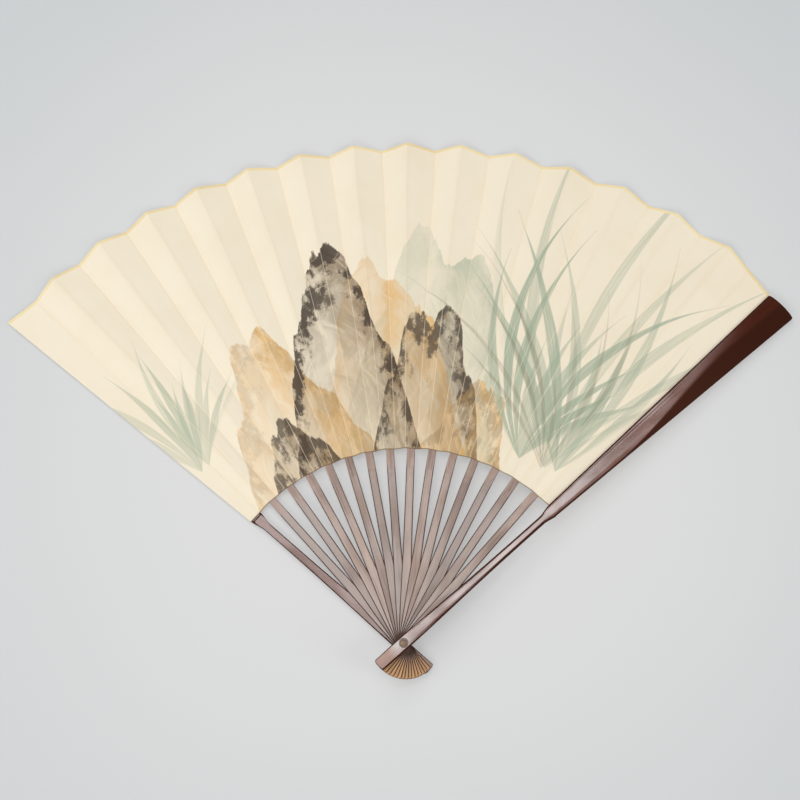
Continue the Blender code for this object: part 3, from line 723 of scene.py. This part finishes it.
def add_slab(points, faces, slots, low, high, slot):
    """Adds a thin closed slab between two grids of points, as rows of equal length."""
    rows, columns = len(low), len(low[0])
    first = len(points)
    points.extend(p for row in low + high for p in row)
    top = first + rows * columns
    for i in range(rows - 1):
        for j in range(columns - 1):
            a = i * columns + j
            corners = (a, a + 1, a + columns + 1, a + columns)
            faces.append(tuple(first + c for c in reversed(corners)))
            faces.append(tuple(top + c for c in corners))
            slots.extend((slot, slot))
    rim = list(range(columns))
    rim += [i * columns + columns - 1 for i in range(1, rows)]
    rim += [(rows - 1) * columns + j for j in reversed(range(columns - 1))]
    rim += [i * columns for i in reversed(range(1, rows - 1))]
    for a, b in zip(rim, rim[1:] + rim[:1]):
        faces.append((first + a, first + b, top + b, top + a))
        slots.append(slot)


def leaf_mesh(name, columns, given):
    """Two sheets with their pockets, and the binding over their outer edge."""
    set_normals(columns)
    sheet = given.sheet_thickness
    gap = given.pocket_height / 2

    def place(share, column, sheets, side):
        """Point on the leaf: sheets is how many sheets away from the middle, side is 1 for the front."""
        open_share = 1 - eased((share - POCKET_END) / POCKET_CLOSING)
        height = side * (gap * column.opening * open_share + sheets * sheet)
        height += column.bow * (BOW_AT_INNER_EDGE + (1 - BOW_AT_INNER_EDGE) * share)
        return column.at(share) + column.normal(share) * height

    points, faces, slots, folds = [], [], [], []
    for side, slot in ((1, 0), (-1, 1)):
        near = [[place(s, c, 0, side) for c in columns] for s in ROWS]
        far = [[place(s, c, 1, side) for c in columns] for s in ROWS]
        low, high = (near, far) if side > 0 else (far, near)
        add_slab(points, faces, slots, low, high, slot)
        folds += [(s, c) for s in ROWS for c in columns] * 2
    length = (columns[0].ends[1] - columns[0].ends[0]).length
    inner = 1 - given.binding_width / length
    outer = 1 + 2 * given.binding_thickness / length
    wrap = 1 + given.binding_thickness / sheet
    section = [(inner, 1, 1), (outer, 1, 1), (outer, 1, -1), (inner, 1, -1)]
    under = [[place(s, c, n, side) for c in columns] for s, n, side in section]
    over = [[place(s, c, n * wrap, side) for c in columns] for s, n, side in section]
    add_slab(points, faces, slots, under, over, 2)
    folds += [(s, c) for s, _, _ in section for c in columns] * 2
    mesh = bpy.data.meshes.new(name)
    mesh.from_pydata(points, [], faces)
    plan = mesh.uv_layers.new(name=PLAN_MAP)
    near_fold = mesh.uv_layers.new(name=FOLD_MAP)
    near_edge = mesh.uv_layers.new(name=EDGE_MAP)
    for loop in mesh.loops:
        share, column = folds[loop.vertex_index]
        flat = column.at(min(share, 1.0))
        plan.data[loop.index].uv = (flat.x / DECIMETRE, flat.y / DECIMETRE)
        near_edge.data[loop.index].uv = (share * length / MM, (1 - share) * length / MM)
        near_fold.data[loop.index].uv = [
            (ends[0] + (ends[1] - ends[0]) * share) / MM for ends in (column.fold, column.rib)
        ]
    for polygon, slot in zip(mesh.polygons, slots):
        polygon.material_index = slot
    mesh.shade_smooth()
    mesh.set_sharp_from_angle(angle=SHARP_FOLD)
    return mesh


class MakeLeaf(bpy.types.Operator):
    """Make the pleated paper leaf over the ribs and guards"""

    bl_idname = "fan.make_leaf"
    bl_label = "Paper leaf"

    def execute(self, context):
        given = context.scene.fan_leaf
        finishes = (
            paper_material("leaf_front", given, given.paper, True),
            paper_material("leaf_back", given, given.back_paper, False),
            binding_material(given),
        )
        valleys, peaks = folds_of_leaf()
        left_edge = long_edges("rear_end_pleat")[0]
        right_edge = long_edges("front_end_pleat")[1]
        middles = {i: [(p + v) / 2 for p, v in zip(peaks[i], valleys[i])] for i in range(1, STICKS + 1)}
        for index in range(STICKS + 1):
            valley, peak = valleys[index], peaks[index + 1]
            bow = given.bow * (0.55 + 0.45 * math.sin(2.4 * index + 0.7))
            columns = []
            if index == 0:
                width = [(v - e).length for v, e in zip(valley, left_edge)]
                columns += [Column(left_edge, width, NO_RIB), Column(valley, (0.0, 0.0), NO_RIB)]
            else:
                columns += ribbed_half(middles[index], valley, False)
            columns += plain_pleat(valley, peak, bow)
            if index == STICKS:
                width = [(p - e).length for p, e in zip(peak, right_edge)]
                columns += [Column(peak, (0.0, 0.0), NO_RIB), Column(right_edge, width, NO_RIB)]
            else:
                columns += ribbed_half(middles[index + 1], peak, True)
            name = f"leaf_{index + 1:02d}"
            mesh = leaf_mesh(name, columns, given)
            for finish in finishes:
                mesh.materials.append(finish)
            piece = bpy.data.objects.new(name, mesh)
            context.scene.collection.objects.link(piece)
            stands_for = [f"free_pleat_{index + 1:02d}"]
            stands_for.append("front_end_pleat" if index == STICKS else f"rib_pleat_{index + 1:02d}")
            if index == 0:
                stands_for.append("rear_end_pleat")
            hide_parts(*stands_for)
            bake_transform(piece)
        return {"FINISHED"}


class FinishSticks(bpy.types.Operator):
    """Give each stick its own piece of brown bamboo"""

    bl_idname = "fan.finish_sticks"
    bl_label = "Sticks"

    def execute(self, context):
        given = context.scene.fan_wood
        for index in range(1, STICKS + 1):
            node = f"stick_{index:02d}"
            tone = 1 + 0.22 * math.sin(5.1 * index)
            handle = [c * tone for c in given.stick]
            # The far end's lighter colour is painted sheen, for the reflection that the leaf keeps off the
            # sticks' ends
            colours = (handle, given.stick_grain_and_shade, given.stick_tail, given.stick_end_painted_sheen)
            material, _ = bamboo_material(
                f"stick_bamboo_{index:02d}", node, 1.7 * index, colours, given.stick_roughness,
                coats=(0.62, 0.0, 0.25), tip_reach=(96 * MM, 107 * MM), gloss=(2.0, 0.28),
            )
            dress(node, material)
        return {"FINISHED"}


class FinishGuards(bpy.types.Operator):
    """Give both guards polished dark bamboo"""

    bl_idname = "fan.finish_guards"
    bl_label = "Guards"

    def execute(self, context):
        given = context.scene.fan_wood
        colours = (given.guard, given.guard_grain_and_shade, given.guard_tail, given.guard_tip)
        for node, coat, seed, outward in (("rear_guard", 0.5, 31.0, 1), ("front_guard", 1.0, 38.0, -1)):
            material, shader = bamboo_material(
                f"{node}_bamboo", node, seed, colours, given.guard_roughness,
                coats=(coat, 0.35 * coat, 0.0), tip_reach=(200 * MM, 280 * MM), gloss=(2.2, 0.14),
                outward=outward,
            )
            shader.inputs["Specular IOR Level"].default_value = 0.1
            dress(node, material)
        return {"FINISHED"}


class FinishRivet(bpy.types.Operator):
    """Give the rivet and its washers polished horn"""

    bl_idname = "fan.finish_rivet"
    bl_label = "Rivet"

    def execute(self, context):
        given = context.scene.fan_horn
        dress("rivet", horn_material("rivet_horn", given.head, given.roughness))
        washer = horn_material("washer_horn", given.washer, given.roughness)
        for node in ("rear_washer", "front_washer"):
            dress(node, washer)
        return {"FINISHED"}


def seen_directly(graph):
    """1 where the camera sees a surface, also mirrored or through glass, and 0 where it lights others."""
    ray = graph.node("ShaderNodeLightPath", {}).outputs
    mirrored = graph.math("MAXIMUM", ray["Is Glossy Ray"], ray["Is Transmission Ray"])
    return graph.math("MAXIMUM", ray["Is Camera Ray"], mirrored)


class MakeStage(bpy.types.Operator):
    """Make the floor, the lamps, the world and the camera"""

    bl_idname = "fan.make_stage"
    bl_label = "Stage"

    def execute(self, context):
        given = context.scene.fan_stage
        corners = [(x * FLOOR_HALF_WIDTH, y * FLOOR_HALF_WIDTH, 0) for x, y in SQUARE]
        mesh = bpy.data.meshes.new("floor")
        mesh.from_pydata(corners, [], [(0, 1, 2, 3)])
        floor = bpy.data.objects.new("floor", mesh)
        context.scene.collection.objects.link(floor)
        material, graph, shader = new_material("floor_paper")
        place = graph.node("ShaderNodeTexCoord", {}).outputs["Object"]
        away = graph.node("ShaderNodeVectorMath", {0: place, 1: FLOOR_MIDDLE}, operation="DISTANCE")
        cloud = graph.math("MULTIPLY_ADD", graph.noise(place, 3.0, 2.0), 0.08, away.outputs["Value"])
        # Painted shade: the floor darkens farther from its middle, as the light falls off
        rim = graph.step(cloud, 0.15, 0.44)
        pale = graph.blend(rim, rgba(given.floor), rgba(given.floor_falloff_shade))
        glow = graph.times(seen_directly(graph), given.floor_glow)
        wire(graph, shader, graph.blend(glow, pale, BLACK))
        graph.tree.links.new(graph.blend(glow, BLACK, pale), shader.inputs["Emission Color"])
        shader.inputs["Emission Strength"].default_value = 1.0
        shader.inputs["Roughness"].default_value = 0.9
        shader.inputs["Specular IOR Level"].default_value = 0.1
        mesh.materials.append(material)

        for name, share, size, place in LAMPS:
            lamp = bpy.data.lights.new(name, "AREA")
            lamp.shape = "RECTANGLE"
            lamp.size, lamp.size_y = size
            lamp.energy = given.lamp_power * share
            box = bpy.data.objects.new(name, lamp)
            box.location = place
            if name != "softbox":
                aim = LAMP_TARGET - box.location
                box.rotation_euler = aim.to_track_quat("-Z", "Y").to_euler()
            context.scene.collection.objects.link(box)

        world = bpy.data.worlds.new("studio")
        world.use_nodes = True
        graph = Graph(world.node_tree)
        lit = graph.node("ShaderNodeBackground", {"Color": (0.95, 0.97, 1.0, 1.0), "Strength": given.fill})
        seen = graph.node("ShaderNodeBackground", {"Color": rgba(given.floor), "Strength": 1.0})
        both = graph.node(
            "ShaderNodeMixShader", {0: seen_directly(graph), 1: lit.outputs[0], 2: seen.outputs[0]}
        )
        world.node_tree.links.new(both.outputs[0], world.node_tree.nodes["World Output"].inputs[0])
        context.scene.world = world

        lens = bpy.data.cameras.new("camera")
        lens.lens = given.focal_length
        lens.sensor_width = 36
        lens.clip_end = 20
        camera = bpy.data.objects.new("camera", lens)
        camera.location = CAMERA_PLACE
        camera.rotation_euler = CAMERA_TURN
        context.scene.collection.objects.link(camera)
        context.scene.camera = camera
        context.scene.view_settings.view_transform = "Standard"
        return {"FINISHED"}


class FanPanel(bpy.types.Panel):
    """Sidebar panel of the fan's pieces and finishes"""

    bl_idname = "FAN_PT_pieces"
    bl_label = "Folding fan"
    bl_space_type = "VIEW_3D"
    bl_region_type = "UI"
    bl_category = "Fan"

    def draw(self, context):
        scene = context.scene
        for heading, settings, operators in (
            ("Leaf", scene.fan_leaf, (MakeLeaf,)),
            ("Bamboo", scene.fan_wood, (FinishSticks, FinishGuards)),
            ("Horn", scene.fan_horn, (FinishRivet,)),
            ("Stage", scene.fan_stage, (MakeStage,)),
        ):
            box = self.layout.box()
            box.label(text=heading)
            for name in settings.__annotations__:
                box.prop(settings, name)
            for operator in operators:
                box.operator(operator.bl_idname)


SETTINGS = {
    "fan_leaf": LeafSettings, "fan_wood": WoodSettings, "fan_horn": HornSettings,
    "fan_stage": StageSettings,
}
OPERATORS = (MakeLeaf, FinishSticks, FinishGuards, FinishRivet, MakeStage)
CLASSES = (*SETTINGS.values(), *OPERATORS, FanPanel)


def register():
    for made in CLASSES:
        bpy.utils.register_class(made)
    for name, kind in SETTINGS.items():
        setattr(bpy.types.Scene, name, PointerProperty(type=kind))


def unregister():
    for name in SETTINGS:
        delattr(bpy.types.Scene, name)
    for made in reversed(CLASSES):
        bpy.utils.unregister_class(made)


def main():
    """Builds the whole scene."""
    register()
    bpy.ops.fan.make_leaf()
    bpy.ops.fan.finish_sticks()
    bpy.ops.fan.finish_guards()
    bpy.ops.fan.finish_rivet()
    bpy.ops.fan.make_stage()


if __name__ == "__main__":
    main()
